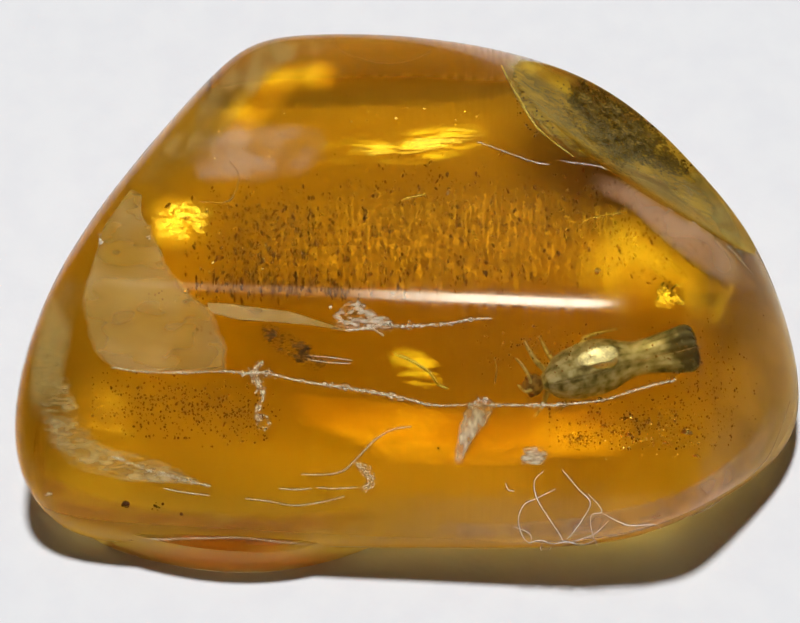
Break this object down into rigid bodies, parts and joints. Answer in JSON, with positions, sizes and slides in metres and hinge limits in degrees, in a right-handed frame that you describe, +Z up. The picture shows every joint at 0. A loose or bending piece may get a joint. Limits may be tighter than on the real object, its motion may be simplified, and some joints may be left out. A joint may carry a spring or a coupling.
{
  "type": "insect in amber",
  "caption": "Rounded pebble of clear amber lying on its flat base, with a small winged insect sealed under its front slope and a shallow scar on its crown.",
  "frame": {"origin": "on the ground under the middle of the stone's box", "axes": "+X along the stone's length, to the right of the insect's wing tips; +Y to the stone's back; +Z up from the flat base"},
  "size_m": [0.028, 0.0202, 0.0091],
  "materials": {
    "amber": "polished, clear honey amber",
    "insect": "greenish grey insect shell with a silvery air film",
    "crack": "pearly air film in an inner crack",
    "debris": "dark bark crumbs and specks",
    "lint": "fine pale lint fibres"
  },
  "bodies": {
    "root": {"amber_lower": "amber", "amber_upper": "amber", "insect": "insect"}
  },
  "joints": []
}
